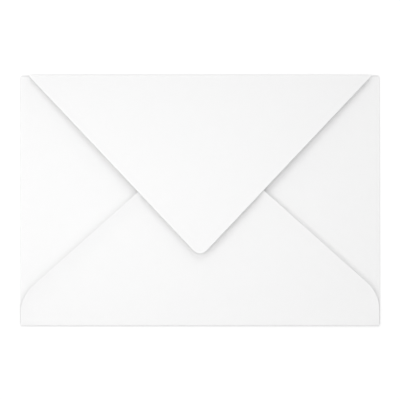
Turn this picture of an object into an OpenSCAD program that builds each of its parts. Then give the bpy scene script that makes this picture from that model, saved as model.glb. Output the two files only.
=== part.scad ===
// Paper envelope with a pointed flap: one die-cut sheet, folded and glued, closed but not sealed.
// It lies on its address side. The origin is the centre of that side's underside, +X runs along
// the long edge, +Y points to the top fold and +Z is up, towards the flaps.

/* [Envelope] */
// Width from side fold to side fold
env_w = 162; // [150:1:180]
// Height from bottom fold to top fold
env_h = 114; // [106:1:124]

/* [Paper] */
// Thickness of the paper
paper_t = 0.15; // [0.1:0.01:0.25]
// Air between a ply and the glued flap folded over it
ply_gap = 0.4; // [0.15:0.01:0.5]

/* [Top flap] */
// Air under this flap at its fold, where nothing holds it down
top_air = 1.2; // [0.3:0.05:2]
// Distance from the ends of the top fold to the sides of the envelope
top_inset = 4.4; // [2:0.1:8]
// Distance from the top fold to where the flap's straight edges would meet
top_point = 83.2; // [75:0.1:92]
// Radius of the flap's tip
top_tip_r = 4; // [1:0.5:15]
// Angle at which the unsealed flap springs up from its fold, in degrees
top_spring = 0.6; // [0.1:0.1:3]

/* [Bottom flap] */
// Distance from the flap's sides to where the side folds start to curve
bottom_inset = 0.1; // [0.05:0.05:1]
// Distance from the bottom fold to where the sides would meet the slanted edges of a centred flap
bottom_corner = 13.9; // [11:0.1:20]
// Radius that rounds these two corners
bottom_corner_r = 16.5; // [4:0.5:20]
// Distance from the bottom fold to where the slanted edges would meet
bottom_point = 86.3; // [78:0.1:94]
// Distance of that point and both slanted edges to the right of the middle
bottom_shift = 0.8; // [0:0.1:3]
// Radius of the flap's tip, which the top flap covers
bottom_tip_r = 20; // [5:1:30]

/* [Side flaps] */
// Clearance between a side flap's upper end and the inside of the top fold
side_top_clear = 0.6; // [0.45:0.05:3]
// Clearance between a side flap's lower end and the curve of the bottom fold
side_bottom_clear = 0.5; // [0.3:0.05:3]
// Distance from a side fold to where the flap's ends would meet its slanted edges
side_corner = 8; // [5:0.5:14]
// Radius that rounds these corners
side_corner_r = 5; // [1:0.5:8]
// Distance between the two points where the slanted edges of each flap would meet
side_point_gap = 24; // [8:1:40]
// Radius of each side flap's tip, which the other flaps cover
side_tip_r = 10; // [2:1:20]

/* [Glued seams] */
// Distance from the bottom flap's slanted edges to the glue
seam_margin = 3; // [1:0.5:5]
// Width of each band of glue
seam_w = 6; // [3:0.5:8]

/* [Address panel] */
// Slit between each end of the top fold and the corner of the panel beside it
corner_slit = 0.3; // [0.1:0.1:1]
// Radius of the panel's two upper corners
corner_r = 0.6; // [0.2:0.1:0.7]

/* [Hidden] */
$fn = 96;

// The plies are counted from the address panel upwards, in the order in which they are folded.
SIDE_PLY = 1;
BOTTOM_PLY = 2;
TOP_PLY = 3;

// Height of a ply's upper face above the surface that the envelope lies on
function ply_top(ply) =
    (ply + 1) * paper_t + min(ply, BOTTOM_PLY) * ply_gap + (ply == TOP_PLY ? top_air : 0);
// Outer radius of the fold that brings a flap round to its ply
function fold_r(ply) = ply_top(ply) / 2;

side_r = fold_r(SIDE_PLY);
bottom_r = fold_r(BOTTOM_PLY);
top_r = fold_r(TOP_PLY);

panel_half_w = env_w / 2 - side_r;

// Distance from the top fold's outermost line to its inside, at the height of a side flap's underside
top_wall = top_r - sqrt(pow(top_r - paper_t, 2) - pow(top_r - ply_top(SIDE_PLY) + paper_t, 2));

top_half = env_w / 2 - top_inset;
bottom_half = panel_half_w - bottom_inset;
side_top_y = env_h / 2 - top_wall - side_top_clear;
side_bottom_y = bottom_r + side_bottom_clear - env_h / 2;
side_half = (side_top_y - side_bottom_y) / 2;
side_mid_y = (side_top_y + side_bottom_y) / 2;
side_point = (env_w - side_point_gap) / 2;

// The paper of each fold laps this far into the panel's own paper, so that the sheet is one piece.
fold_lap = paper_t;
// What cuts a flap to its outline reaches this far past the paper.
cut_over = paper_t;

// Slant of an edge from the fold line, where it rises from the corner to the point over a run
function slant(run, corner, point) = atan2(point - corner, run);
// Distance from a corner between a square side and a slanted edge to either end of its rounding
function corner_cut(r, slant) = r * (1 - sin(slant)) / cos(slant);

// A flap laid out flat, with the outermost line of its fold on the X axis and its point towards +Y.
// half: half the length of the fold. corner, corner_r: where the sides would meet the slanted
// edges of a centred flap, and what rounds them. point, tip_r: where the slanted edges would meet,
// and what rounds it. shift: how far the point and both slanted edges lie to the right.
module flap_outline(half, corner, corner_r, point, shift, tip_r) {
    edge = slant(half, corner, point);
    cut = corner_cut(corner_r, edge);
    left = corner - shift * tan(edge);
    right = corner + shift * tan(edge);
    tip_run = tip_r * sin(edge);
    tip_y = point - tip_run * tan(edge);
    polygon(concat(
        [[-half, -cut_over], [half, -cut_over]],
        [[half, right - cut]],
        corner_r > 0 ? [[half, right] + cut * [-cos(edge), sin(edge)]] : [],
        [[shift + tip_run, tip_y], [shift - tip_run, tip_y]],
        corner_r > 0 ? [[-half, left] + cut * [cos(edge), sin(edge)]] : [],
        [[-half, left - cut]]
    ));
    translate([shift, point - tip_r / cos(edge)]) circle(r = tip_r);
    if (corner_r > 0) {
        translate([half - corner_r, right - cut]) circle(r = corner_r);
        translate([corner_r - half, left - cut]) circle(r = corner_r);
    }
}

// Section across a fold, with its outermost line at x = 0 and the panel's underside at y = 0: the
// lap into the panel, a ring that turns the paper round, and the flap's straight run, which leaves
// the ring tangentially and rises by the spring angle.
module fold_section(r, run, spring) {
    reach = 2 * r;
    translate([r, r]) {
        translate([0, -r])
            square([fold_lap, paper_t]);
        intersection() {
            difference() {
                circle(r = r);
                circle(r = r - paper_t);
            }
            polygon([[0, 0], [-reach * tan(spring), reach], [-reach, reach], [-reach, -reach], [0, -reach]]);
        }
        rotate(spring)
            translate([0, r - paper_t])
                square([run, paper_t]);
    }
}

// A folded flap: the section runs along the whole fold and the outline given as a child cuts it.
module folded_flap(ply, half, run, spring = 0) {
    intersection() {
        rotate([90, 0, 90])
            linear_extrude(2 * (half + cut_over), center = true)
                fold_section(fold_r(ply), run, spring);
        translate([0, 0, -cut_over])
            linear_extrude(ply_top(ply) + run * sin(spring) + 2 * cut_over)
                children();
    }
}

module top_outline() {
    flap_outline(top_half, top_r, 0, top_point, 0, top_tip_r);
}

module bottom_outline() {
    flap_outline(bottom_half, bottom_corner, bottom_corner_r, bottom_point, bottom_shift, bottom_tip_r);
}

module side_outline() {
    flap_outline(side_half, side_corner, side_corner_r, side_point, 0, side_tip_r);
}

// Puts what points to +Y from the X axis on one of the four sides of the envelope.
module at_bottom() {
    translate([0, -env_h / 2]) children();
}

module at_top() {
    translate([0, env_h / 2]) rotate(180) children();
}

module at_left() {
    translate([-env_w / 2, side_mid_y]) rotate(-90) children();
}

module at_right() {
    translate([env_w / 2, side_mid_y]) rotate(90) children();
}

// One corner of the panel beside the end of the top fold, with its outer corner rounded
module panel_ear() {
    ear_w = panel_half_w - top_half - corner_slit;
    translate([top_half + corner_slit, env_h / 2 - top_r - fold_lap]) {
        ear_h = top_r + fold_lap;
        square([ear_w - corner_r, ear_h]);
        square([ear_w, ear_h - corner_r]);
        translate([ear_w - corner_r, ear_h - corner_r]) circle(r = corner_r);
    }
}

module address_panel() {
    linear_extrude(paper_t) {
        translate([-panel_half_w, bottom_r - env_h / 2])
            square([2 * panel_half_w, env_h - bottom_r - top_r]);
        panel_ear();
        mirror([1, 0]) panel_ear();
    }
}

// Band along the left slanted edge of the bottom flap, from the end of its rounded corner on.
// Mirrored, with the shift reversed, it follows the right edge.
module glue_band(shift) {
    edge = slant(bottom_half, bottom_corner, bottom_point);
    start = corner_cut(bottom_corner_r, edge);
    translate([-bottom_half, bottom_corner - shift * tan(edge)])
        rotate(edge)
            translate([start, -seam_margin - seam_w])
                square([(bottom_half + shift) / cos(edge) - start, seam_w]);
}

// The bottom flap is glued to each side flap where the band lies over it. The glue joins the two
// plies from the middle of one to the middle of the other.
module glued_seams() {
    translate([0, 0, ply_top(SIDE_PLY) - paper_t / 2])
        linear_extrude(ply_gap + paper_t)
            intersection() {
                at_bottom() {
                    glue_band(bottom_shift);
                    mirror([1, 0]) glue_band(-bottom_shift);
                }
                at_bottom() bottom_outline();
                union() {
                    at_left() side_outline();
                    at_right() side_outline();
                }
            }
}

module envelope() {
    color("white") {
        address_panel();
        at_left() folded_flap(SIDE_PLY, side_half, side_point) side_outline();
        at_right() folded_flap(SIDE_PLY, side_half, side_point) side_outline();
        at_bottom() folded_flap(BOTTOM_PLY, bottom_half, bottom_point) bottom_outline();
        at_top() folded_flap(TOP_PLY, top_half, top_point, top_spring) top_outline();
        glued_seams();
    }
}

envelope();
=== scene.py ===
"""A paper envelope with a pointed flap: one sheet of white wove paper, folded and gummed.

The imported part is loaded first. The folded sheet and its two gummed seams are then built as meshes
in the part's own frame and dressed, and a pale studio with a camera that looks down on the flaps
is put round them. The paper's sizes are in millimetres until a mesh is made.
"""

from __future__ import annotations

import logging
import math
from dataclasses import dataclass, field
from enum import Enum

import bpy
import numpy as np
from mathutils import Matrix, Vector

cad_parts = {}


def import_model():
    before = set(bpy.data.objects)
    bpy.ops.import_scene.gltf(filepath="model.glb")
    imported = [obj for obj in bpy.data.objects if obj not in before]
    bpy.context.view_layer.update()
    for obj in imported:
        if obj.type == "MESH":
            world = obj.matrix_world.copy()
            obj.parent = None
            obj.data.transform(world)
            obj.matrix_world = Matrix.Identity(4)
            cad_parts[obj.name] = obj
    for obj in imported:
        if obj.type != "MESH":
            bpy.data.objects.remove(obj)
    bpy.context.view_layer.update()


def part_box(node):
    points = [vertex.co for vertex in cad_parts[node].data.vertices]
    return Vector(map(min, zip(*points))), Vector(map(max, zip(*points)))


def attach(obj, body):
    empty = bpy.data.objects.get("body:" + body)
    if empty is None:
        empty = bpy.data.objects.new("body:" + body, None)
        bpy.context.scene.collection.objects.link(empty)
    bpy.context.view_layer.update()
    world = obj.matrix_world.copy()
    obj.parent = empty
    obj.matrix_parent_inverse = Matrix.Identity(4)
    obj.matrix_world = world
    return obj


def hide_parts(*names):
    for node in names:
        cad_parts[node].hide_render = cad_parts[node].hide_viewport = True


log = logging.getLogger("envelope")

Array = np.ndarray
Tree = bpy.types.NodeTree
Socket = bpy.types.NodeSocket
Colour = tuple[float, float, float]

# One millimetre in metres
MM = 0.001
# Places that are nearer to each other than this, in millimetres, are the same, as are those alike in these decimals
TOUCH = 1e-6
DECIMALS = 6
# Distance in millimetres over which a slope is taken, and the widest turn between two points of an arc
SLOPE_STEP = 0.02
ARC_STEP = math.radians(5.0)

QUARTER = math.pi / 2
DOWN = np.array([0.0, 0.0, -1.0])

# How a noise is stretched: not at all, or drawn out along x or y
EVEN = (1.0, 1.0, 1.0)
ALONG_X = (0.12, 1.3, 1.0)
ALONG_Y = (1.3, 0.15, 1.0)
WHITE = (1.0, 1.0, 1.0, 1.0)

# What the imported part calls its node and its body
NODE = "envelope"
BODY = "root"


class Side(Enum):
    """The four sides of the address panel. Each value is the quarter turns from the bottom side."""

    BOTTOM = 0
    RIGHT = 1
    TOP = 2
    LEFT = 3

    @property
    def turn(self) -> tuple[int, int]:
        """Turn that takes the bottom side to this one.

        Returns:
            The turn's cosine and sine.
        """
        angle = self.value * QUARTER
        return round(math.cos(angle)), round(math.sin(angle))


class Ply(Enum):
    """The layers of the closed envelope, counted upwards in the order in which they are folded."""

    PANEL = 0
    SIDE = 1
    BOTTOM = 2
    TOP = 3


@dataclass(frozen=True)
class Stack:
    """Outside size of the envelope and how its plies lie over each other.

    Attributes:
        width: distance from side fold to side fold.
        height: distance from the bottom fold to the top fold.
        paper: thickness of the paper.
        air: gap between a ply and the glued flap folded over it.
        top_air: the same gap under the top flap at its fold, where nothing holds it down.
    """

    width: float
    height: float
    paper: float = 0.15
    air: float = 0.4
    top_air: float = 1.2

    def top_of(self, ply: Ply) -> float:
        """Height of a ply's upper face above the floor: one paper for each ply up to it, and the gaps.

        Args:
            ply: the ply.

        Returns:
            The height.
        """
        gaps = {Ply.PANEL: 0.0, Ply.SIDE: self.air, Ply.BOTTOM: 2 * self.air, Ply.TOP: 2 * self.air + self.top_air}
        return (ply.value + 1) * self.paper + gaps[ply]

    def fold_r(self, ply: Ply) -> float:
        """Outer radius of the fold that brings a flap round to its ply: half the height of that ply.

        Args:
            ply: the ply.

        Returns:
            The radius.
        """
        return self.top_of(ply) / 2

    @property
    def top_wall(self) -> float:
        """Distance from the top fold's outermost line to its inside, at the height of a side flap's underside.

        It is r less the root of (r - paper) squared less (r - underside) squared, r being the
        fold's outer radius.

        Returns:
            The distance.
        """
        fold_r = self.fold_r(Ply.TOP)
        underside = self.top_of(Ply.SIDE) - self.paper
        return fold_r - math.sqrt((fold_r - self.paper) ** 2 - (fold_r - underside) ** 2)


def turns(angle: float) -> Array:
    """Divides an angle into equal turns, none wider than the common step of all arcs.

    Args:
        angle: the angle in radians.

    Returns:
        The turns' ends, from 0 to the angle.
    """
    return np.linspace(0, angle, math.ceil(angle / ARC_STEP) + 1)


@dataclass(frozen=True)
class Outline:
    """Cut outline of one flap, laid flat with its fold line on the v axis and its point towards +u.

    Attributes:
        half: half the length of the fold.
        corner: distance from the fold at which the sides would meet the slanted edges of a centred flap.
        point: distance from the fold at which the slanted edges would meet.
        tip_r: radius that rounds that point.
        corner_r: radius that rounds the two corners.
        shift: distance of the point and of both slanted edges to the side of the middle.
    """

    half: float
    corner: float
    point: float
    tip_r: float
    corner_r: float = 0.0
    shift: float = 0.0

    @property
    def slant(self) -> float:
        """Angle of the slanted edges from the fold line.

        Returns:
            The angle in radians.
        """
        return math.atan2(self.point - self.corner, self.half)

    def corner_at(self, hand: int) -> float:
        """Distance from the fold to one corner.

        Args:
            hand: -1 for the left corner and 1 for the right one.

        Returns:
            The distance.
        """
        return self.corner + hand * self.shift * math.tan(self.slant)

    @property
    def corner_cut(self) -> float:
        """Distance from a corner to either end of its rounding: r (1 - sin(slant)) / cos(slant).

        Returns:
            The distance.
        """
        return self.corner_r * (1 - math.sin(self.slant)) / math.cos(self.slant)

    def reach(self, v: Array) -> Array:
        """Distance from the fold line to the cut edge, at each place along the fold.

        From either end, a distance a in, the edge is first the corner's arc, the square root of
        r squared less (r - a) squared, and then the straight line corner + a tan(slant). The lower
        of the two ends' lines counts, and the tip's arc takes the place of where they meet.

        Args:
            v: places along the fold, from -half to half.

        Returns:
            The distance for each place.
        """
        slant = self.slant
        lines = []
        for hand in (-1, 1):
            inward = np.clip(self.half - hand * v, 0, None)
            corner = self.corner_at(hand)
            lift = np.sqrt(np.clip(self.corner_r**2 - (self.corner_r - inward) ** 2, 0, None))
            line = corner + inward * math.tan(slant)
            lines.append(np.where(inward < self.corner_cut * math.cos(slant), corner - self.corner_cut + lift, line))
        edge = np.minimum(*lines)
        off = v - self.shift
        centre = self.point - self.tip_r / math.cos(slant)
        arc = centre + np.sqrt(np.clip(self.tip_r**2 - off**2, 0, None))
        return np.where(np.abs(off) < self.tip_r * math.sin(slant), arc, edge)

    def knots(self) -> Array:
        """Places along the fold that the arcs need, with both ends of the fold.

        Returns:
            The places, unsorted.
        """
        places = [np.array([-self.half, self.half])]
        for hand in (-1, 1):
            places.append(hand * (self.half - self.corner_r * (1 - np.cos(turns(QUARTER - self.slant)))))
            places.append(self.shift + hand * self.tip_r * np.sin(turns(self.slant)))
        return np.concatenate(places)


@dataclass(frozen=True)
class Relief:
    """How a flap departs from the flat as paper does, all small beside the gaps between the plies.

    Attributes:
        pinch: share of its height that the fold loses at its two ends, where it is creased hardest.
        pinch_power: how late along the fold that sets in.
        puff: height of the soft ridge just inside the fold.
        puff_w: distance over which that ridge dies away.
        bulge: height of the broad swell in the middle of the flap, negative for a hollow.
        curl: rise of the cut edge, negative where it turns down.
        curl_w: distance from the cut edge at which the curl begins.
        wave: height of the long waves that handling leaves in the sheet.
        wave_in: distance from the fold over which they set in.
        phase: where these waves start, in radians.
        first, second: their turns in radians for each millimetre along the fold and away from it.
        second_share: height of the second wave as a share of the first one's.
    """

    pinch: float = 0.0
    pinch_power: float = 4.0
    puff: float = 0.0
    puff_w: float = 1.5
    bulge: float = 0.0
    curl: float = 0.0
    curl_w: float = 6.0
    wave: float = 0.0
    wave_in: float = 12.0
    phase: float = 0.0
    first: tuple[float, float] = (0.061, 0.034)
    second: tuple[float, float] = (-0.087, 0.043)
    second_share: float = 0.6

    def fold_share(self, along: Array) -> Array:
        """Share of its height that the fold keeps: 1 less pinch times the place along it to a power.

        Args:
            along: place along the fold, from -1 to 1.

        Returns:
            The share for each place.
        """
        return 1 - self.pinch * np.abs(along) ** self.pinch_power

    def rise(self, along: Array, out: Array, cut: Array, v: Array, u: Array) -> Array:
        """Height that the flap gains over its plain slope.

        The puff is a bell of the distance from the fold. The bulge is the sine of the share of the
        way to the cut edge times the cosine along the fold. The curl is the square of how far a
        point is inside the curl's strip. The waves are two slow cosines that cross at a slant.

        Args:
            along: place along the fold, from -1 to 1.
            out: share of the way from the fold to the cut edge.
            cut: distance to the cut edge.
            v: distance along the fold.
            u: distance from the fold.

        Returns:
            The height for each point, 0 at the fold itself.
        """
        near_fold = u / self.puff_w
        puff = self.puff * near_fold**2 * np.exp(1 - near_fold**2)
        bulge = self.bulge * np.sin(np.pi * out) * np.cos(QUARTER * along)
        curl = self.curl * np.clip(1 - cut / self.curl_w, 0, 1) ** 2 * np.clip(u / self.curl_w, 0, 1)
        waves = np.cos(self.first[0] * v + self.first[1] * u + self.phase)
        waves += self.second_share * np.cos(self.second[0] * v + self.second[1] * u + 2 * self.phase)
        return puff + bulge + curl + self.wave * waves * np.clip(u / self.wave_in, 0, 1)


def grid_faces(ids: Array) -> Array:
    """Joins a grid of points with four-sided faces that look to the side of (next column) x (next row).

    Args:
        ids: the points' numbers, with a row of the array for each row of the grid.

    Returns:
        One row of four point numbers for each face.
    """
    corners = (ids[:-1, :-1], ids[:-1, 1:], ids[1:, 1:], ids[1:, :-1])
    return np.stack(corners, axis=-1).reshape(-1, 4)


class Surface:
    """Middle surface of the sheet, as points with marks on them and four-sided faces between them."""

    def __init__(self) -> None:
        """Starts with no points and no faces."""
        self._points: list[Array] = []
        self._normals: list[Array] = []
        self._marks: list[Array] = []
        self._faces: list[Array] = []
        self._count = 0

    def add_points(self, xyz: Array, normals: Array, cut: Array, crease: Array) -> Array:
        """Adds a block of points.

        Args:
            xyz: the points' places, with x, y and z on the last axis.
            normals: the directions, of any length, that point out of the closed envelope there.
            cut: each point's distance to the nearest cut edge.
            crease: each point's distance to the nearest fold.

        Returns:
            The points' numbers, in the block's own shape.
        """
        shape = xyz.shape[:-1]
        size = int(np.prod(shape))
        marks = np.stack([np.broadcast_to(cut, shape), np.broadcast_to(crease, shape)], axis=-1)
        self._points.append(xyz.reshape(-1, 3))
        self._normals.append(np.broadcast_to(normals, xyz.shape).reshape(-1, 3))
        self._marks.append(marks.reshape(-1, 2))
        self._count += size
        return np.arange(self._count - size, self._count).reshape(shape)

    def add_grid(self, ids: Array) -> None:
        """Adds the faces of a grid of points.

        Args:
            ids: the points' numbers, as grid_faces takes them.
        """
        self._faces.append(grid_faces(ids))

    def arrays(self) -> tuple[Array, Array, Array, Array]:
        """Gathers all blocks, without the points that no face uses.

        Returns:
            The points, their unit normals, their marks and the faces.
        """
        points, normals = np.concatenate(self._points), np.concatenate(self._normals)
        marks, faces = np.concatenate(self._marks), np.concatenate(self._faces)
        used = np.unique(faces)
        number = np.full(len(points), -1)
        number[used] = np.arange(len(used))
        normals = normals[used] / np.linalg.norm(normals[used], axis=1, keepdims=True)
        return points[used], normals, marks[used], number[faces]


def filled(knots: Array, step: float) -> Array:
    """Puts even places between the given ones, so that no gap is wider than a step.

    Args:
        knots: the given places, in any order.
        step: the widest gap.

    Returns:
        All places, sorted.
    """
    places = np.unique(np.round(knots, DECIMALS))
    pieces = [np.linspace(a, b, max(int(math.ceil((b - a) / step)), 1) + 1)[:-1] for a, b in zip(places, places[1:])]
    return np.concatenate([*pieces, places[-1:]])


def graded(count: int, crowding: float) -> Array:
    """Shares from 0 to 1 that crowd towards both ends: t less crowding sin(2 pi t) / (2 pi).

    Args:
        count: number of steps.
        crowding: how much closer the shares lie at the ends than in the middle, from 0 to 1.

    Returns:
        The shares, one more than the steps.
    """
    t = np.linspace(0, 1, count + 1)
    return t - crowding * np.sin(2 * np.pi * t) / (2 * np.pi)


def area_of(points: Array, faces: Array) -> float:
    """Area of four-sided faces: half the length of the cross product of each one's diagonals.

    Args:
        points: one row for each point.
        faces: one row of four point numbers for each face.

    Returns:
        The area of all faces.
    """
    across = np.cross(points[faces[:, 2]] - points[faces[:, 0]], points[faces[:, 3]] - points[faces[:, 1]])
    return float(np.linalg.norm(across, axis=1).sum()) / 2


def mesh_object(name: str, points: Array, faces: Array) -> bpy.types.Object:
    """Makes a mesh object at the origin from points in millimetres.

    Args:
        name: the object's name.
        points: one row for each point.
        faces: one row of four point numbers for each face. Where two neighbours in a row are the
            same point, the face has three sides.

    Returns:
        The object, linked to the scene.
    """
    keep = faces != np.roll(faces, -1, axis=1)
    sides = keep.sum(axis=1)
    whole = sides >= 3
    corners = faces[whole][keep[whole]]
    totals = sides[whole]
    mesh = bpy.data.meshes.new(name)
    mesh.vertices.add(len(points))
    mesh.vertices.foreach_set("co", (points * MM).astype(np.float32).ravel())
    mesh.loops.add(len(corners))
    mesh.loops.foreach_set("vertex_index", corners.astype(np.int32))
    mesh.polygons.add(len(totals))
    mesh.polygons.foreach_set("loop_start", (np.cumsum(totals) - totals).astype(np.int32))
    mesh.polygons.foreach_set("use_smooth", np.ones(len(totals), dtype=bool))
    mesh.update(calc_edges=True)
    mesh.validate()
    piece = bpy.data.objects.new(name, mesh)
    bpy.context.scene.collection.objects.link(piece)
    return piece


def shell(faces: Array, count: int) -> tuple[Array, Array]:
    """Closes the gap between two copies of a surface, of which the second looks the other way.

    A face with four sides joins the two copies wherever the surface has a border.

    Args:
        faces: the surface's faces.
        count: number of points of one copy. The second copy's points follow the first's.

    Returns:
        All faces, and the border's edges, each as its lower point number times count plus its
        higher one.
    """
    starts, ends = faces, np.roll(faces, -1, axis=1)
    real = starts != ends
    starts, ends = starts[real], ends[real]
    keys = np.minimum(starts, ends) * count + np.maximum(starts, ends)
    _, first, times = np.unique(keys, return_index=True, return_counts=True)
    border = first[times == 1]
    a, b = starts[border], ends[border]
    rim = np.stack([b, a, a + count, b + count], axis=-1)
    return np.concatenate([faces, faces[:, ::-1] + count, rim]), keys[border]


def sharpen(piece: bpy.types.Object, border: Array, count: int) -> None:
    """Makes the long edges of a shell's rims sharp, so that a cut edge stays crisp.

    Args:
        piece: the piece.
        border: the border's edges as shell gives them.
        count: number of points of one copy of the surface.
    """
    pairs = np.empty(len(piece.data.edges) * 2, dtype=np.int32)
    piece.data.edges.foreach_get("vertices", pairs)
    pairs = pairs.reshape(-1, 2).astype(np.int64)
    same_face = (pairs[:, 0] < count) == (pairs[:, 1] < count)
    low = np.minimum(pairs[:, 0], pairs[:, 1]) % count
    high = np.maximum(pairs[:, 0], pairs[:, 1]) % count
    sharp = same_face & np.isin(low * count + high, border)
    piece.data.attributes.new("sharp_edge", "BOOLEAN", "EDGE").data.foreach_set("value", sharp)


def mark_points(piece: bpy.types.Object, name: str, values: Array) -> None:
    """Keeps one number for each point of a piece, for its material to read.

    Args:
        piece: the piece.
        name: name of the numbers.
        values: the numbers.
    """
    piece.data.attributes.new(name, "FLOAT", "POINT").data.foreach_set("value", values.astype(np.float32))


@dataclass
class Flap:
    """One flap with the fold that carries it.

    Attributes:
        side: side of the panel that it hangs on.
        ply: layer in which it lies.
        outline: its cut outline.
        relief: how it departs from the flat.
        middle: distance of the fold's middle from the middle of that side, to the flap's right.
        spring: angle in radians at which it leaves its fold.
        fold_steps: number of steps round the fold.
        run_steps: number of steps from the fold to the cut edge.
        crowding: how much closer these steps lie near the fold and the edge than in the middle.
    """

    side: Side
    ply: Ply
    outline: Outline
    relief: Relief
    middle: float = 0.0
    spring: float = 0.0
    fold_steps: int = 14
    run_steps: int = 50
    crowding: float = 0.9

    def place(self, stack: Stack, v: Array, u: Array, z: Array) -> Array:
        """Turns the flap's own places into the envelope's, by quarter turns about the middle.

        Args:
            stack: the envelope's sizes.
            v: distance along the fold.
            u: distance in from the outermost line of the fold.
            z: height above the floor.

        Returns:
            x, y and z on the last axis.
        """
        across = stack.height if self.side in (Side.BOTTOM, Side.TOP) else stack.width
        return self.turned(v + self.middle, u - across / 2, z)

    def turned(self, right: Array, inward: Array, up: Array) -> Array:
        """Turns directions of the flap's own into the envelope's.

        Args:
            right: their parts along the fold.
            inward: their parts in from it.
            up: their parts upwards.

        Returns:
            x, y and z on the last axis.
        """
        cos, sin = self.side.turn
        return np.stack(np.broadcast_arrays(cos * right - sin * inward, sin * right + cos * inward, up), axis=-1)

    def along_fold(self, x: Array, y: Array) -> Array:
        """Finds where the envelope's places lie along the fold.

        Args:
            x: their x.
            y: their y.

        Returns:
            Their distances along the fold from its middle.
        """
        cos, sin = self.side.turn
        return cos * x + sin * y - self.middle

    def height(self, stack: Stack, v: Array, u: Array) -> Array:
        """Height of the sheet's middle on the flat run of the flap, past its fold.

        It is the height at which the fold lets go of the flap, plus the slope of the spring angle,
        plus the relief.

        Args:
            stack: the envelope's sizes.
            v: distance along the fold.
            u: distance in from the outermost line of the fold.

        Returns:
            The height for each point.
        """
        fold_r = stack.fold_r(self.ply)
        along = v / self.outline.half
        reach = self.outline.reach(v)
        run = np.clip(u - fold_r, 0, None)
        out = np.clip(run / np.maximum(reach - fold_r, stack.paper), 0, 1)
        flat = stack.paper / 2 + (2 * fold_r - stack.paper) * self.relief.fold_share(along)
        cut = self.to_cut_edge(v, u)
        return flat + math.tan(self.spring) * run + self.relief.rise(along, out, cut, v, run)

    def to_cut_edge(self, v: Array, u: Array) -> Array:
        """Distance to the cut edge: the gap along u over the root of 1 plus the edge's slope squared.

        Args:
            v: distance along the fold.
            u: distance in from the outermost line of the fold.

        Returns:
            The distance for each point, or that to the flap's side where it is smaller.
        """
        rise = self.outline.reach(v + SLOPE_STEP) - self.outline.reach(v - SLOPE_STEP)
        slope = rise / (2 * SLOPE_STEP)
        straight = (self.outline.reach(v) - u) / np.sqrt(1 + slope**2)
        return np.clip(np.minimum(straight, self.outline.half - np.abs(v)), 0, None)

    def build(self, surface: Surface, stack: Stack, edge: Array, v: Array) -> None:
        """Carries the panel's border round the fold and on to the cut edge.

        Round the fold, at an angle a from the floor, the sheet's middle is at u = r - m sin(a) and
        z = half a paper + m s (1 - cos(a)), where r is the fold's outer radius, m the radius of the
        sheet's middle and s the share of its height that the fold keeps. Past it, u grows by graded
        shares of the way to the cut edge. The normals are the cross products of the two slopes.
        A run shorter than the paper is thick keeps only its last point, and one with no length none.

        Args:
            surface: takes the points and faces.
            stack: the envelope's sizes.
            edge: numbers of the panel's border points, in the order of v.
            v: their distances along the fold.
        """
        fold_r = stack.fold_r(self.ply)
        middle_r = fold_r - stack.paper / 2
        share = self.relief.fold_share(v / self.outline.half)
        angle = np.linspace(0, math.pi - self.spring, self.fold_steps + 1)[1:, None]
        fold_u = np.broadcast_to(fold_r - middle_r * np.sin(angle), (self.fold_steps, len(v)))
        fold_z = stack.paper / 2 + middle_r * (1 - np.cos(angle)) * share
        share_slope = np.gradient(share, v)
        fold_normals = self.turned(
            middle_r * (1 - np.cos(angle)) * share_slope * np.cos(angle), -np.sin(angle) * share, -np.cos(angle)
        )

        start = float(fold_u[-1, 0])
        reach = np.maximum(self.outline.reach(v), start)
        run_u = start + graded(self.run_steps, self.crowding)[1:, None] * (reach - start)
        run_v = np.broadcast_to(v, run_u.shape)
        run_z = self.height(stack, run_v, run_u) - self.height(stack, v, np.full_like(v, start)) + fold_z[-1]
        rise_v = self.height(stack, run_v + SLOPE_STEP, run_u) - self.height(stack, run_v - SLOPE_STEP, run_u)
        rise_u = self.height(stack, run_v, run_u + SLOPE_STEP) - self.height(stack, run_v, run_u)
        run_normals = self.turned(-rise_v / (2 * SLOPE_STEP), -rise_u / SLOPE_STEP, np.ones_like(run_u))

        u, z = np.concatenate([fold_u, run_u]), np.concatenate([fold_z, run_z])
        all_v = np.broadcast_to(v, u.shape)
        round_fold = np.broadcast_to(middle_r * np.abs(angle - QUARTER), fold_u.shape)
        crease = np.concatenate([round_fold, run_u - start + middle_r * QUARTER])
        normals = np.concatenate([fold_normals, run_normals])
        ids = surface.add_points(self.place(stack, all_v, u, z), normals, self.to_cut_edge(all_v, u), crease)
        for stop, shortest in ((-1, stack.paper), (None, TOUCH)):
            held = reach - start < shortest
            ids[self.fold_steps : stop, held] = ids[self.fold_steps - 1, held]
        surface.add_grid(np.vstack([edge, ids]))


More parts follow.
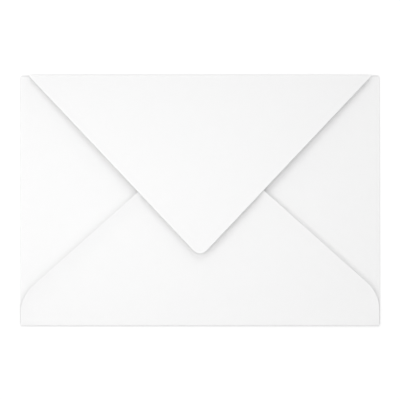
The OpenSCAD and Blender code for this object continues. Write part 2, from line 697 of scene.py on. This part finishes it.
@dataclass
class FoldedSheet:
    """The whole envelope as one folded sheet of paper.

    Attributes:
        stack: the envelope's sizes.
        top_inset: distance from the ends of the top fold to the envelope's sides.
        top_point: distance from the top fold to where the flap's straight edges would meet.
        top_tip_r: radius of its tip.
        top_spring: angle in degrees at which it springs up from its fold.
        bottom_inset: distance from the bottom flap's sides to where the side folds start to curve.
        bottom_corner: distance from the bottom fold to where the sides would meet the slanted edges.
        bottom_corner_r: radius that rounds these two corners.
        bottom_point: distance from the bottom fold to where the slanted edges would meet.
        bottom_shift: distance of that point and both slanted edges to the right of the middle.
        bottom_tip_r: radius of the flap's tip.
        side_corner: distance from a side fold to where the flap's ends would meet its slanted edges.
        side_corner_r: radius that rounds these corners.
        side_point_gap: distance between the two side flaps' points.
        side_tip_r: radius of their tips.
        side_top_clear: clearance between a side flap's upper end and the inside of the top fold.
        side_bottom_clear: clearance between its lower end and the curve of the bottom fold.
        slit: slit between each end of the top fold and the panel's corner beside it.
        ear_r: radius of the panel's two upper corners.
        ear_steps: number of steps round them, and from the side flap's end to their edge.
        step: widest gap between the points of the panel.
        top_relief, bottom_relief, side_relief: how the flaps depart from the flat.
        panel_half: half the distance between the starts of the two side folds.
        panel_low, panel_high: places along y where the bottom and the top fold start.
        side_high: place along y of the side flaps' upper ends.
        top, bottom, left, right: the four flaps.
    """

    stack: Stack
    top_inset: float = 4.4
    top_point: float = 83.2
    top_tip_r: float = 4.0
    top_spring: float = 0.6
    bottom_inset: float = 0.1
    bottom_corner: float = 13.9
    bottom_corner_r: float = 16.5
    bottom_point: float = 86.3
    bottom_shift: float = 0.8
    bottom_tip_r: float = 20.0
    side_corner: float = 8.0
    side_corner_r: float = 5.0
    side_point_gap: float = 24.0
    side_tip_r: float = 10.0
    side_top_clear: float = 0.6
    side_bottom_clear: float = 0.5
    slit: float = 0.3
    ear_r: float = 0.6
    ear_steps: int = 5
    step: float = 2.0
    top_relief: Relief = Relief(pinch=0.25, puff=0.04, bulge=-0.05, wave=0.03, phase=0.8)
    bottom_relief: Relief = Relief(pinch=0.1, puff=0.06, bulge=0.03, curl=1.0, curl_w=9.0, wave=0.015, phase=2.1)
    side_relief: Relief = Relief(pinch=0.1, puff=0.05, bulge=0.04, wave=0.012)
    panel_half: float = field(init=False)
    panel_low: float = field(init=False)
    panel_high: float = field(init=False)
    side_high: float = field(init=False)
    top: Flap = field(init=False)
    bottom: Flap = field(init=False)
    left: Flap = field(init=False)
    right: Flap = field(init=False)

    def __post_init__(self) -> None:
        """Works out the panel and the four flaps from the driving sizes."""
        stack = self.stack
        self.panel_half = stack.width / 2 - stack.fold_r(Ply.SIDE)
        self.panel_low = stack.fold_r(Ply.BOTTOM) - stack.height / 2
        self.panel_high = stack.height / 2 - stack.fold_r(Ply.TOP)
        self.side_high = stack.height / 2 - stack.top_wall - self.side_top_clear
        side_low = self.panel_low + self.side_bottom_clear
        side_half, side_middle = (self.side_high - side_low) / 2, (self.side_high + side_low) / 2
        top = Outline(
            half=stack.width / 2 - self.top_inset,
            corner=stack.fold_r(Ply.TOP),
            point=self.top_point,
            tip_r=self.top_tip_r,
        )
        bottom = Outline(
            half=self.panel_half - self.bottom_inset,
            corner=self.bottom_corner,
            corner_r=self.bottom_corner_r,
            point=self.bottom_point,
            shift=self.bottom_shift,
            tip_r=self.bottom_tip_r,
        )
        side = Outline(
            half=side_half,
            corner=self.side_corner,
            corner_r=self.side_corner_r,
            point=(stack.width - self.side_point_gap) / 2,
            tip_r=self.side_tip_r,
        )
        self.top = Flap(Side.TOP, Ply.TOP, top, self.top_relief, spring=math.radians(self.top_spring))
        self.bottom = Flap(Side.BOTTOM, Ply.BOTTOM, bottom, self.bottom_relief)
        self.left = Flap(Side.LEFT, Ply.SIDE, side, self.side_relief, middle=-side_middle)
        self.right = Flap(Side.RIGHT, Ply.SIDE, side, self.side_relief, middle=side_middle)

    def columns(self) -> Array:
        """Gathers the panel's x places: every one that the top and bottom flaps and the corners need.

        Returns:
            The places, sorted.
        """
        ear = self.panel_half - self.ear_r * (1 - np.cos(np.linspace(0, QUARTER, self.ear_steps + 1)))
        ends = np.array([self.panel_half, self.top.outline.half + self.slit])
        marks = np.concatenate([self.bottom.outline.knots(), self.top.outline.knots(), ear, ends])
        return filled(np.concatenate([marks, -marks]), self.step)

    def rows(self) -> tuple[Array, Array]:
        """Gathers the y places that the side flaps need.

        Returns:
            Those of the panel's rows, and those of its corners' rows above them.
        """
        marks = self.right.outline.knots() + self.right.middle
        low, high = marks[marks < self.panel_high], marks[marks > self.panel_high]
        panel = filled(np.concatenate([low, [self.panel_low, self.panel_high]]), self.step)
        return panel, filled(np.concatenate([high, [self.panel_high]]), self.ear_r)[1:]

    def build_panel(self, surface: Surface, x: Array, y: Array) -> Array:
        """Lays the address panel flat on the floor, as a grid of the x and y places.

        Args:
            surface: takes the points and faces.
            x: the columns' places.
            y: the rows' places.

        Returns:
            The points' numbers, with a row of the array for each column of the panel.
        """
        over, up = np.meshgrid(x, y, indexing="ij")
        crease = np.minimum.reduce([self.panel_half - np.abs(over), up - self.panel_low, self.panel_high - up])
        points = np.stack([over, up, np.full_like(over, self.stack.paper / 2)], axis=-1)
        ids = surface.add_points(points, DOWN, np.full_like(over, self.stack.height), crease)
        surface.add_grid(ids)
        return ids

    def build_ear(self, surface: Surface, edge: Array, x: Array, y: Array) -> Array:
        """Adds the panel's corner beside the top fold, up to a straight edge that ends in an arc.

        Its rows are level as far as the side fold reaches, and from there they grow by even shares
        of the way to the cut edge.

        Args:
            surface: takes the points and faces.
            edge: numbers of the panel's border points, with x falling.
            x: their places.
            y: the level rows' places.

        Returns:
            The numbers of the level rows' points on the side fold.
        """
        inside = np.clip(np.abs(x) - self.panel_half + self.ear_r, 0, self.ear_r)
        high = self.stack.height / 2 - self.ear_r + np.sqrt(self.ear_r**2 - inside**2)
        start = max(self.side_high, self.panel_high)
        share = np.linspace(0, 1, self.ear_steps + 1)[1:, None]
        up = np.concatenate([np.repeat(y[:, None], len(x), axis=1), start + share * (high - start)])
        over = np.broadcast_to(x, up.shape)
        points = np.stack([over, up, np.full_like(up, self.stack.paper / 2)], axis=-1)
        ids = surface.add_points(points, DOWN, high - up, self.panel_half - np.abs(over))
        surface.add_grid(np.vstack([edge, ids]))
        return ids[: len(y), np.argmax(np.abs(x))]

    def surface(self) -> Surface:
        """Builds the middle surface of the whole sheet: the panel, its corners and the four flaps.

        Returns:
            The surface.
        """
        made = Surface()
        x, (y, ear_y) = self.columns(), self.rows()
        panel = self.build_panel(made, x, y)
        top, falling = panel[::-1, -1], x[::-1]
        ear_start = self.top.outline.half + self.slit - TOUCH
        sides = (falling >= ear_start, falling <= -ear_start)
        right, left = (self.build_ear(made, top[held], falling[held], ear_y) for held in sides)
        side_y = np.concatenate([y, ear_y])
        borders = {
            Side.BOTTOM: (panel[:, 0], x, np.full_like(x, y[0])),
            Side.RIGHT: (np.concatenate([panel[-1], right]), np.full_like(side_y, x[-1]), side_y),
            Side.TOP: (top, falling, np.full_like(x, y[-1])),
            Side.LEFT: (np.concatenate([panel[0], left])[::-1], np.full_like(side_y, x[0]), side_y[::-1]),
        }
        for flap in (self.left, self.right, self.bottom, self.top):
            edge, over, up = borders[flap.side]
            v = flap.along_fold(over, up)
            held = np.abs(v) <= flap.outline.half + TOUCH
            flap.build(made, self.stack, edge[held], v[held])
        return made

    def build(self) -> tuple[bpy.types.Object, float]:
        """Gives the middle surface its thickness, half a paper to each side, and makes the piece.

        Returns:
            The piece and the flat area of its blank, in square metres.
        """
        points, normals, marks, faces = self.surface().arrays()
        half = normals * self.stack.paper / 2
        count = len(points)
        every_face, border = shell(faces, count)
        sheet = mesh_object("folded_sheet", np.concatenate([points + half, points - half]), every_face)
        # Distances to cut edges and folds, which the paper's material uses for its painted highlight.
        mark_points(sheet, "cut_edge_mm", np.tile(marks[:, 0], 2))
        mark_points(sheet, "crease_mm", np.tile(marks[:, 1], 2))
        sharpen(sheet, border, count)
        return sheet, area_of(points, faces) * MM**2

    def blank(self) -> tuple[float, float]:
        """Finds the smallest rectangle that the flat blank is cut from.

        Each flap adds its reach, with the half turn of its fold laid flat: reach - r + pi m, where
        r is the fold's outer radius and m the radius of the sheet's middle.

        Returns:
            Its width and length, in metres.
        """
        across, along = 2 * self.panel_half, self.panel_high - self.panel_low
        for flap in (self.left, self.right, self.bottom, self.top):
            fold_r = self.stack.fold_r(flap.ply)
            tip = flap.outline.point + flap.outline.tip_r * (1 - 1 / math.cos(flap.outline.slant))
            flat = tip - fold_r + math.pi * (fold_r - self.stack.paper / 2)
            if flap.side in (Side.LEFT, Side.RIGHT):
                across += flat
            else:
                along += flat
        return across * MM, along * MM


@dataclass
class GumSeam:
    """Band of dried gum that holds one slanted edge of the bottom flap to a side flap.

    Attributes:
        sheet: the folded sheet.
        hand: -1 for the left seam and 1 for the right one.
        margin: distance from the bottom flap's edge to the gum.
        width: width of the band.
        clear: distance that it keeps from the side flap's edge.
        soak: depth to which it soaks into both papers.
        waver: how far its two edges waver.
        waver_turns: turns in radians of the two waves that they follow, for each millimetre.
        steps: number of steps along the band.
        rows: number of steps across it.
        tries: number of tries for each step, where the band's end is sought.
    """

    sheet: FoldedSheet
    hand: int
    margin: float = 3.0
    width: float = 6.0
    clear: float = 0.4
    soak: float = 0.03
    waver: float = 0.2
    waver_turns: tuple[float, float] = (0.7, 0.31)
    steps: int = 150
    rows: int = 8
    tries: int = 8

    def place(self, along: Array, depth: Array) -> tuple[Array, Array]:
        """Turns places in the band into the bottom flap's own.

        Args:
            along: distance along the slanted edge from the flap's corner.
            depth: distance in from that edge.

        Returns:
            The distances along the bottom fold and in from it.
        """
        outline = self.sheet.bottom.outline
        slant = outline.slant
        v = self.hand * (outline.half - along * math.cos(slant) - depth * math.sin(slant))
        return v, outline.corner_at(self.hand) + along * math.sin(slant) - depth * math.cos(slant)

    def on_side_flap(self, v: Array, u: Array) -> tuple[Flap, Array, Array]:
        """Finds the same places on the side flap underneath.

        Args:
            v: distance along the bottom fold.
            u: distance in from its outermost line.

        Returns:
            The side flap, and the distances along its fold and in from it.
        """
        flap = self.sheet.left if self.hand < 0 else self.sheet.right
        y = u - self.sheet.stack.height / 2
        return flap, flap.along_fold(v, y), self.sheet.stack.width / 2 - np.abs(v)

    def build(self) -> bpy.types.Object:
        """Makes the piece: a grid that fills the gap between the two flaps' faces.

        The band runs from the end of the bottom flap's rounded corner to the last place where the
        side flap is still under it, which is sought at even steps along each row.

        Returns:
            The piece.
        """
        outline = self.sheet.bottom.outline
        start = outline.corner_cut
        whole = (outline.half - self.hand * outline.shift) / math.cos(outline.slant)
        share = np.linspace(0, 1, self.rows + 1)[:, None]
        depth = self.margin + self.width * share
        tries = np.linspace(start, whole, self.tries * self.steps + 1)
        flap, side_v, side_u = self.on_side_flap(*self.place(*np.broadcast_arrays(tries, depth)))
        held = side_u < flap.outline.reach(side_v) - self.clear
        end = np.where(held, tries, start).max(axis=1, keepdims=True)
        along = start + np.linspace(0, 1, self.steps + 1) * (end - start)
        waver = self.waver * np.sin(self.waver_turns[0] * along + self.hand) * np.cos(self.waver_turns[1] * along)
        v, u = self.place(along, depth + waver * (2 * share - 1))

        stack, half = self.sheet.stack, self.sheet.stack.paper / 2
        flap, side_v, side_u = self.on_side_flap(v, u)
        low = flap.height(stack, side_v, side_u) + half - self.soak
        high = self.sheet.bottom.height(stack, v, u) - half + self.soak
        ids = np.arange(v.size).reshape(v.shape)[:, :: self.hand]
        faces, border = shell(grid_faces(ids), v.size)
        points = [self.sheet.bottom.place(stack, v, u, z).reshape(-1, 3) for z in (high, low)]
        seam = mesh_object("gum_left" if self.hand < 0 else "gum_right", np.concatenate(points), faces)
        sharpen(seam, border, v.size)
        return seam


def value_group(name: str, inputs: dict[str, float], output: str) -> tuple[Tree, dict[str, Socket], Socket]:
    """Starts a shader node group that has number inputs and one number output.

    Args:
        name: the group's name.
        inputs: name and usual value of each input.
        output: name of the output.

    Returns:
        The group, the sockets that its inputs come from by their names, and the socket that its
        output goes to.
    """
    group = bpy.data.node_groups.new(name, "ShaderNodeTree")
    for label, value in inputs.items():
        group.interface.new_socket(label, in_out="INPUT", socket_type="NodeSocketFloat").default_value = value
    group.interface.new_socket(output, in_out="OUTPUT", socket_type="NodeSocketFloat")
    sources = group.nodes.new("NodeGroupInput").outputs
    target = group.nodes.new("NodeGroupOutput").inputs[output]
    return group, {label: sources[label] for label in inputs}, target


def math_node(tree: Tree, operation: str, *values: float | Socket, clamp: bool = False) -> Socket:
    """Adds a Math node.

    Args:
        tree: the tree that it goes into.
        operation: what it works out.
        values: a number or a socket for each of its inputs.
        clamp: whether the result stays between 0 and 1.

    Returns:
        Its output socket.
    """
    node = tree.nodes.new("ShaderNodeMath")
    node.operation = operation
    node.use_clamp = clamp
    for socket, value in zip(node.inputs, values):
        if isinstance(value, (int, float)):
            socket.default_value = value
        else:
            tree.links.new(value, socket)
    return node.outputs[0]


def mixed_values(tree: Tree, share: float | Socket, low: float | Socket, high: float | Socket) -> Socket:
    """Mixes two numbers: low times 1 less share, plus high times share.

    Args:
        tree: the tree that the nodes go into.
        share: share of the second number, as a number or a socket.
        low: the first number or its socket.
        high: the second number or its socket.

    Returns:
        The mix's socket.
    """
    rest = math_node(tree, "SUBTRACT", 1.0, share)
    return math_node(tree, "ADD", math_node(tree, "MULTIPLY", low, rest), math_node(tree, "MULTIPLY", high, share))


def noise_node(tree: Tree, scale: float | Socket, detail: float, stretch: tuple[float, float, float]) -> Socket:
    """Adds a noise in the object's own coordinates.

    Args:
        tree: the tree that it goes into.
        scale: a number or a socket, in waves for each metre.
        detail: how many finer noises are added to it.
        stretch: how much finer it is along x, y and z.

    Returns:
        Its value socket.
    """
    place = tree.nodes.new("ShaderNodeTexCoord").outputs["Object"]
    mapping = tree.nodes.new("ShaderNodeMapping")
    mapping.inputs["Scale"].default_value = stretch
    noise = tree.nodes.new("ShaderNodeTexNoise")
    noise.inputs["Detail"].default_value = detail
    tree.links.new(place, mapping.inputs["Vector"])
    tree.links.new(mapping.outputs["Vector"], noise.inputs["Vector"])
    if isinstance(scale, (int, float)):
        noise.inputs["Scale"].default_value = scale
    else:
        tree.links.new(scale, noise.inputs["Scale"])
    return noise.outputs["Fac"]


def cloud_group(detail: float = 2.5) -> Tree:
    """Faint clouds that settle as a sheet forms: a slow noise mixed with a finer one.

    Args:
        detail: how many finer noises each of the two holds.

    Returns:
        The group, whose output runs from 0 to 1.
    """
    group, given, cloud = value_group("clouds", {"Scale": 160.0, "Finer": 3.5, "Fine Share": 0.4}, "Cloud")
    slow = noise_node(group, given["Scale"], detail, EVEN)
    fine = noise_node(group, math_node(group, "MULTIPLY", given["Scale"], given["Finer"]), detail, EVEN)
    group.links.new(mixed_values(group, given["Fine Share"], slow, fine), cloud)
    return group


def tooth_group(grain_detail: float = 4.0, fibre_detail: float = 1.0) -> Tree:
    """Grain of matted fibres: a round noise plus the higher of two noises drawn out along x and along y.

    Args:
        grain_detail: how many finer noises the round one holds.
        fibre_detail: the same for the drawn-out ones.

    Returns:
        The group, whose output runs from 0 to 1 plus the fibres' share.
    """
    group, given, height = value_group("tooth", {"Scale": 2800.0, "Fibre": 0.5}, "Height")
    grain = noise_node(group, given["Scale"], grain_detail, EVEN)
    crossed = [noise_node(group, given["Scale"], fibre_detail, stretch) for stretch in (ALONG_X, ALONG_Y)]
    fibres = math_node(group, "MULTIPLY", math_node(group, "MAXIMUM", *crossed), given["Fibre"])
    group.links.new(math_node(group, "ADD", grain, fibres), height)
    return group


def highlight_mask_group(power: float = 2.0) -> Tree:
    """Mask of a painted highlight along a line: 1 less distance over width to a power, so 1 at the line and 0 past
    the width.

    Args:
        power: how soon the mask fades.

    Returns:
        The group, whose output runs from 0 to 1.
    """
    group, given, mask = value_group("painted_highlight", {"Distance": 0.0, "Width": 1.0}, "Mask")
    share = math_node(group, "DIVIDE", given["Distance"], given["Width"])
    inside = math_node(group, "SUBTRACT", 1.0, share, clamp=True)
    group.links.new(math_node(group, "POWER", inside, power), mask)
    return group


@dataclass(frozen=True)
class Effects:
    """The node groups that the finishes share.

    Attributes:
        clouds: faint clouds.
        tooth: grain of matted fibres.
        painted_highlight: mask of the painted highlight along creases and cut edges.
    """

    clouds: Tree
    tooth: Tree
    painted_highlight: Tree


class Dresser:
    """Builds one material round a Principled shader, with calls that read as the finish is described."""

    def __init__(self, name: str, roughness: float, shine: float) -> None:
        """Starts the material.

        Args:
            name: the material's name.
            roughness: roughness of the surface.
            shine: how strongly it reflects, 0.5 being plain.
        """
        self.material = bpy.data.materials.new(name)
        self.material.use_nodes = True
        self.tree = self.material.node_tree
        self.shader = self.tree.nodes["Principled BSDF"]
        self.shader.inputs["Roughness"].default_value = roughness
        self.shader.inputs["Specular IOR Level"].default_value = shine

    def group(self, effect: Tree, output: str, **inputs: float | Socket) -> Socket:
        """Places an effect.

        Args:
            effect: its node group.
            output: name of the output that is wanted.
            inputs: a number or a socket for each input that is set.

        Returns:
            The output's socket.
        """
        node = self.tree.nodes.new("ShaderNodeGroup")
        node.node_tree = effect
        for label, value in inputs.items():
            if isinstance(value, (int, float)):
                node.inputs[label].default_value = value
            else:
                self.tree.links.new(value, node.inputs[label])
        return node.outputs[output]

    def mark(self, name: str) -> Socket:
        """Reads a number that the mesh keeps for each point.

        Args:
            name: what mark_points called it.

        Returns:
            The number's socket.
        """
        node = self.tree.nodes.new("ShaderNodeAttribute")
        node.attribute_name = name
        return node.outputs["Fac"]

    def blend(self, share: Socket, low: Colour | Socket, high: Colour | Socket) -> Socket:
        """Blends two colours.

        Args:
            share: share of the second one, from 0 to 1.
            low: the first one.
            high: the second one.

        Returns:
            The blend's socket.
        """
        node = self.tree.nodes.new("ShaderNodeMix")
        node.data_type = "RGBA"
        self.tree.links.new(share, node.inputs["Factor"])
        for label, value in (("A", low), ("B", high)):
            socket = next(i for i in node.inputs if i.name == label and i.type == "RGBA")
            if isinstance(value, tuple):
                socket.default_value = (*value, 1.0)
            else:
                self.tree.links.new(value, socket)
        return next(o for o in node.outputs if o.type == "RGBA")

    def colour(self, socket: Socket) -> None:
        """Sends a colour to the shader.

        Args:
            socket: the colour's socket.
        """
        self.tree.links.new(socket, self.shader.inputs["Base Color"])

    def bump(self, height: Socket, depth: float) -> None:
        """Sends a height to the shader as a bump.

        Args:
            height: the height's socket, from 0 to 1.
            depth: what 1 stands for, in metres.
        """
        node = self.tree.nodes.new("ShaderNodeBump")
        node.inputs["Distance"].default_value = depth
        self.tree.links.new(height, node.inputs["Height"])
        self.tree.links.new(node.outputs["Normal"], self.shader.inputs["Normal"])


@dataclass(frozen=True)
class PaperFinish:
    """Uncoated white wove paper.

    Attributes:
        colour: colour of the sheet.
        thin: colour of the sheet where its clouds are thin.
        painted_highlight: whiter colour painted along a crease or a cut edge, a painted highlight where folds and
            edges catch the light.
        roughness: how matt it is.
        shine: how strongly it reflects.
        cloud_mm: size of the faint clouds that the fibres form.
        tooth_mm: size of the grain that the fingers feel.
        tooth_depth_mm: depth of that grain.
        highlight_w_mm: width of the painted highlight along a crease or a cut edge.
    """

    colour: Colour = (0.935, 0.935, 0.935)
    thin: Colour = (0.915, 0.914, 0.914)
    painted_highlight: Colour = (0.965, 0.965, 0.966)
    roughness: float = 0.85
    shine: float = 0.3
    cloud_mm: float = 6.0
    tooth_mm: float = 0.35
    tooth_depth_mm: float = 0.012
    highlight_w_mm: float = 1.2

    def material(self, effects: Effects) -> bpy.types.Material:
        """Makes the material: clouds between two whites, whiter along creases and cut edges as a painted highlight,
        and a fine tooth.

        Args:
            effects: the shared node groups.

        Returns:
            The material.
        """
        dress = Dresser("wove_paper", self.roughness, self.shine)
        cloud = dress.group(effects.clouds, "Cloud", Scale=1 / (self.cloud_mm * MM))
        sheet = dress.blend(cloud, self.thin, self.colour)
        # Painted highlight: the colour turns whiter near cut edges and creases, where folds and edges catch the
        # light.
        cut = dress.group(effects.painted_highlight, "Mask", Distance=dress.mark("cut_edge_mm"), Width=self.highlight_w_mm)
        crease = dress.group(effects.painted_highlight, "Mask", Distance=dress.mark("crease_mm"), Width=self.highlight_w_mm)
        dress.colour(dress.blend(math_node(dress.tree, "MAXIMUM", cut, crease), sheet, self.painted_highlight))
        tooth = dress.group(effects.tooth, "Height", Scale=1 / (self.tooth_mm * MM))
        dress.bump(tooth, self.tooth_depth_mm * MM)
        return dress.material


@dataclass(frozen=True)
class GumFinish:
    """Dried gum, a little yellower and smoother than the paper.

    Attributes:
        colour: colour where it is thin.
        thick: colour where it pooled.
        roughness: how matt it is.
        shine: how strongly it reflects.
        pool_mm: size of the pools.
        pool_depth_mm: how far they stand up.
    """

    colour: Colour = (0.88, 0.865, 0.82)
    thick: Colour = (0.84, 0.81, 0.73)
    roughness: float = 0.35
    shine: float = 0.5
    pool_mm: float = 1.5
    pool_depth_mm: float = 0.03

    def material(self, effects: Effects) -> bpy.types.Material:
        """Makes the material: pools of a deeper colour, which also stand up a little.

        Args:
            effects: the shared node groups.

        Returns:
            The material.
        """
        dress = Dresser("dried_gum", self.roughness, self.shine)
        pools = dress.group(effects.clouds, "Cloud", Scale=1 / (self.pool_mm * MM))
        dress.colour(dress.blend(pools, self.colour, self.thick))
        dress.bump(pools, self.pool_depth_mm * MM)
        return dress.material


@dataclass(frozen=True)
class FloorFinish:
    """Smooth pale studio floor.

    Attributes:
        colour: colour of the floor.
        grain: colour of the finer specks in it.
        roughness: how matt it is.
        shine: how strongly it reflects.
        speck_mm: size of the specks.
        lift: light that only the camera sees, so that the floor reads as a white background.
    """

    colour: Colour = (0.5, 0.5, 0.5)
    grain: Colour = (0.49, 0.49, 0.49)
    roughness: float = 0.9
    shine: float = 0.2
    speck_mm: float = 3.0
    lift: float = 0.57

    def material(self, effects: Effects) -> bpy.types.Material:
        """Makes the material: a matt grey, plus an even light on rays from the camera and its mirrors.

        Args:
            effects: the shared node groups.

        Returns:
            The material.
        """
        dress = Dresser("studio_floor", self.roughness, self.shine)
        specks = dress.group(effects.clouds, "Cloud", Scale=1 / (self.speck_mm * MM))
        dress.colour(dress.blend(specks, self.grain, self.colour))
        tree = dress.tree
        glow = tree.nodes.new("ShaderNodeEmission")
        tree.links.new(math_node(tree, "MULTIPLY", seen_by_camera(tree), self.lift), glow.inputs["Strength"])
        both = tree.nodes.new("ShaderNodeAddShader")
        tree.links.new(dress.shader.outputs[0], both.inputs[0])
        tree.links.new(glow.outputs[0], both.inputs[1])
        tree.links.new(both.outputs[0], tree.nodes["Material Output"].inputs["Surface"])
        return dress.material


def seen_by_camera(tree: Tree) -> Socket:
    """Tells the camera's rays, also those by way of a mirror or glass, from all others.

    Args:
        tree: the tree that the nodes go into.

    Returns:
        A socket that is 1 on them and 0 on the others.
    """
    path = tree.nodes.new("ShaderNodeLightPath").outputs
    mirrored = math_node(tree, "MAXIMUM", path["Is Glossy Ray"], path["Is Transmission Ray"])
    return math_node(tree, "MAXIMUM", path["Is Camera Ray"], mirrored)


@dataclass(frozen=True)
class Photograph:
    """Where the envelope lies in the square photograph, in its pixels, and what that says of the camera.

    Attributes:
        side: width and height of the photograph.
        left, right: where the envelope's sides are.
        top, bottom: where its top and bottom folds are.
    """

    side: float = 400.0
    left: float = 20.0
    right: float = 380.0
    top: float = 74.5
    bottom: float = 326.0

    def elevation(self, stack: Stack) -> float:
        """Angle of the view above the floor: the sine is how much of its height the envelope shows.

        Args:
            stack: the envelope's sizes.

        Returns:
            The angle in radians.
        """
        shown = (self.bottom - self.top) / (self.right - self.left) * stack.width / stack.height
        return math.asin(min(shown, 1.0))

    def pixel(self, stack: Stack) -> float:
        """Width that one pixel shows.

        Args:
            stack: the envelope's sizes.

        Returns:
            The width in millimetres.
        """
        return stack.width / (self.right - self.left)


@dataclass(frozen=True)
class Lamp:
    """Soft oval lamp, out of the camera's sight.

    Attributes:
        name: what it is called.
        place: where it hangs over the envelope's middle, in metres.
        watts: its power.
        size: its length along x and its width, in metres.
        aimed: whether it faces the envelope's middle, and not straight down.
    """

    name: str
    place: tuple[float, float, float]
    watts: float
    size: tuple[float, float] = (0.34, 0.34)
    aimed: bool = True

    def hang(self) -> None:
        """Hangs the lamp in its place."""
        lamp = bpy.data.lights.new(self.name, "AREA")
        lamp.shape = "ELLIPSE"
        lamp.size, lamp.size_y = self.size
        lamp.energy = self.watts
        holder = bpy.data.objects.new(self.name, lamp)
        holder.location = self.place
        if self.aimed:
            holder.rotation_euler = (-Vector(self.place)).to_track_quat("-Z", "Y").to_euler()
        holder.visible_camera = False
        bpy.context.scene.collection.objects.link(holder)


@dataclass
class Studio:
    """Pale room: pale floor, soft light from all round that is dimmer in front, and four soft lamps.

    Attributes:
        stack: the envelope's sizes.
        photograph: how the envelope is framed.
        lens_mm: focal length. It is very long, because the photographed sides are parallel.
        sensor_mm: width of the camera's sensor.
        floor_m: half the width of the floor.
        floor_points: number of points along each side of it.
        ambient: strength of the light from all round.
        front_dim: share of it that is missing low in front.
        front_reach: how fast that dim side sets in towards the front, and how fast it ends upwards.
        lamps: low ones far off at the left, behind and in front, whose light rakes over the flaps'
            edges, and a near strip above, whose light falls off towards the corners.
    """

    stack: Stack
    photograph: Photograph = field(default_factory=Photograph)
    lens_mm: float = 1000.0
    sensor_mm: float = 36.0
    floor_m: float = 12.0
    floor_points: int = 3
    ambient: float = 0.826
    front_dim: float = 0.45
    front_reach: tuple[float, float] = (1.5, 0.75)
    lamps: tuple[Lamp, ...] = (
        Lamp("left_lamp", place=(-0.78, 0.0, 0.45), watts=0.58),
        Lamp("back_lamp", place=(0.0, 0.78, 0.45), watts=0.93),
        Lamp("front_lamp", place=(0.0, -0.78, 0.45), watts=0.86),
        Lamp("strip_lamp", place=(-0.08, 0.0, 0.13), watts=0.033, size=(0.3, 0.03), aimed=False),
    )

    def lay_floor(self, effects: Effects) -> bpy.types.Object:
        """Lays the floor as one square grid at the height of the envelope's underside.

        Args:
            effects: the node groups that its finish takes.

        Returns:
            The floor.
        """
        places = np.linspace(-self.floor_m, self.floor_m, self.floor_points) / MM
        x, y = np.meshgrid(places, places)
        ids = np.arange(x.size).reshape(x.shape)
        points = np.stack([x, y, np.zeros_like(x)], axis=-1).reshape(-1, 3)
        floor = mesh_object("studio_floor", points, grid_faces(ids))
        floor.data.materials.append(FloorFinish().material(effects))
        return floor

    def light(self) -> None:
        """Sets the light from all round, which the camera sees as white, and hangs the lamps.

        The light is even but for its dim side: there it is ambient times 1 less front_dim times a
        mask. The mask is toward times how far a direction points to the front less above times how
        far it points up, kept between 0 and 1, toward and above being front_reach's two numbers.
        """
        world = bpy.data.worlds.new("studio")
        bpy.context.scene.world = world
        world.use_nodes = True
        tree = world.node_tree
        background = tree.nodes["Background"]
        background.inputs["Color"].default_value = WHITE
        split = tree.nodes.new("ShaderNodeSeparateXYZ")
        tree.links.new(tree.nodes.new("ShaderNodeTexCoord").outputs["Generated"], split.inputs[0])
        toward, above = (-reach for reach in self.front_reach)
        front = math_node(tree, "MULTIPLY", split.outputs["Y"], toward)
        mask = math_node(tree, "ADD", front, math_node(tree, "MULTIPLY", split.outputs["Z"], above), clamp=True)
        even = math_node(tree, "SUBTRACT", 1.0, math_node(tree, "MULTIPLY", mask, self.front_dim))
        light = math_node(tree, "MULTIPLY", even, self.ambient)
        strength = mixed_values(tree, seen_by_camera(tree), light, 1.0)
        tree.links.new(strength, background.inputs["Strength"])
        for lamp in self.lamps:
            lamp.hang()

    def stand_camera(self) -> None:
        """Stands the camera back so far that the envelope has its photographed width, and aims it."""
        shot, stack = self.photograph, self.stack
        away = self.lens_mm / self.sensor_mm * shot.side * shot.pixel(stack) * MM
        angle = shot.elevation(stack)
        off_middle = (shot.top + shot.bottom - shot.side) / 2 * shot.pixel(stack)
        aim = Vector((0.0, off_middle / math.sin(angle), stack.fold_r(Ply.BOTTOM))) * MM
        camera = bpy.data.cameras.new("camera")
        camera.lens = self.lens_mm
        camera.sensor_width = self.sensor_mm
        camera.clip_end = 2 * away
        holder = bpy.data.objects.new("camera", camera)
        holder.location = aim + Vector((0.0, -math.cos(angle), math.sin(angle))) * away
        holder.rotation_euler = (aim - holder.location).to_track_quat("-Z", "Y").to_euler()
        bpy.context.scene.collection.objects.link(holder)
        bpy.context.scene.camera = holder


def build_envelope(stack: Stack, effects: Effects) -> None:
    """Builds and dresses the folded sheet and its two seams, and attaches each piece to the envelope's body.

    Args:
        stack: the envelope's sizes.
        effects: the node groups that the finishes take.
    """
    folded = FoldedSheet(stack)
    sheet, area = folded.build()
    sheet.data.materials.append(PaperFinish().material(effects))
    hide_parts(NODE)
    gum = GumFinish().material(effects)
    seams = [GumSeam(folded, hand).build() for hand in (-1, 1)]
    for seam in seams:
        seam.data.materials.append(gum)
    for piece in (sheet, *seams):
        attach(piece, BODY)
        log.info("%s: %d faces", piece.name, len(piece.data.polygons))
    blank = folded.blank()
    log.info("blank: %.1f by %.1f mm, %.4f square metres", blank[0] / MM, blank[1] / MM, area)


def main() -> None:
    """Builds the envelope and its studio."""
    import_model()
    low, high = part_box(NODE)
    stack = Stack(width=(high[0] - low[0]) / MM, height=(high[1] - low[1]) / MM)
    effects = Effects(clouds=cloud_group(), tooth=tooth_group(), painted_highlight=highlight_mask_group())
    build_envelope(stack, effects)

    studio = Studio(stack)
    studio.lay_floor(effects)
    studio.light()
    studio.stand_camera()
    view = bpy.context.scene.view_settings
    view.view_transform = "Standard"
    log.info("studio: view from %.1f degrees up", math.degrees(studio.photograph.elevation(stack)))


if __name__ == "__main__":
    logging.basicConfig(level=logging.INFO, format="%(name)s: %(message)s")
    main()
